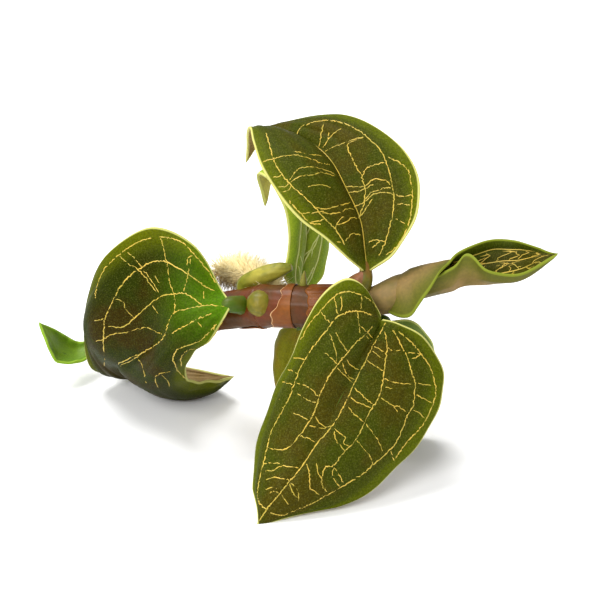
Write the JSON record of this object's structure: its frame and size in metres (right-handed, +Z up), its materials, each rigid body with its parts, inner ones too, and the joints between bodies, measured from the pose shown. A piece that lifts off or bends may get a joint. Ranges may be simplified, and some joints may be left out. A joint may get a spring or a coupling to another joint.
{
  "type": "jewel orchid cutting",
  "caption": "Picked jewel orchid cutting with a creeping stem, velvety curled leaves, papery sheaths and a furry root, lying on a flat surface.",
  "frame": {"origin": "middle of the whole cutting's outline, on the flat surface it rests on", "axes": "+X along the creeping stem towards its leafy end, -Y towards the viewer of the picture, +Z up"},
  "size_m": [0.1278, 0.0766, 0.08],
  "materials": {
    "leaf_dark": "velvety dark green blade with gold veins and a bright green margin",
    "leaf_rolled": "matt taupe underside of a rolled blade",
    "leaf_young": "soft bright green young blade",
    "stem_skin": "fleshy reddish brown stem with a faint sheen",
    "sheath_skin": "thin papery pinkish brown sheath",
    "root_felt": "dense cream root hairs",
    "root_skin": "smooth fleshy green root tip",
    "bud_skin": "pale dry bud scale"
  },
  "bodies": {
    "root": {"stem": "stem_skin", "leaf_front": "leaf_dark", "leaf_top": "leaf_dark", "leaf_left": "leaf_dark", "leaf_right": "leaf_rolled", "leaf_back": "leaf_dark", "leaf_under": "leaf_young", "leaf_hanging": "leaf_dark", "leaf_young": "leaf_young", "sheath_joint": "sheath_skin", "sheath_tip": "sheath_skin", "sheath_lower": "sheath_skin", "root_hairy": "root_felt", "root_green": "root_skin", "root_nub": "root_skin", "bud": "bud_skin"}
  },
  "joints": []
}
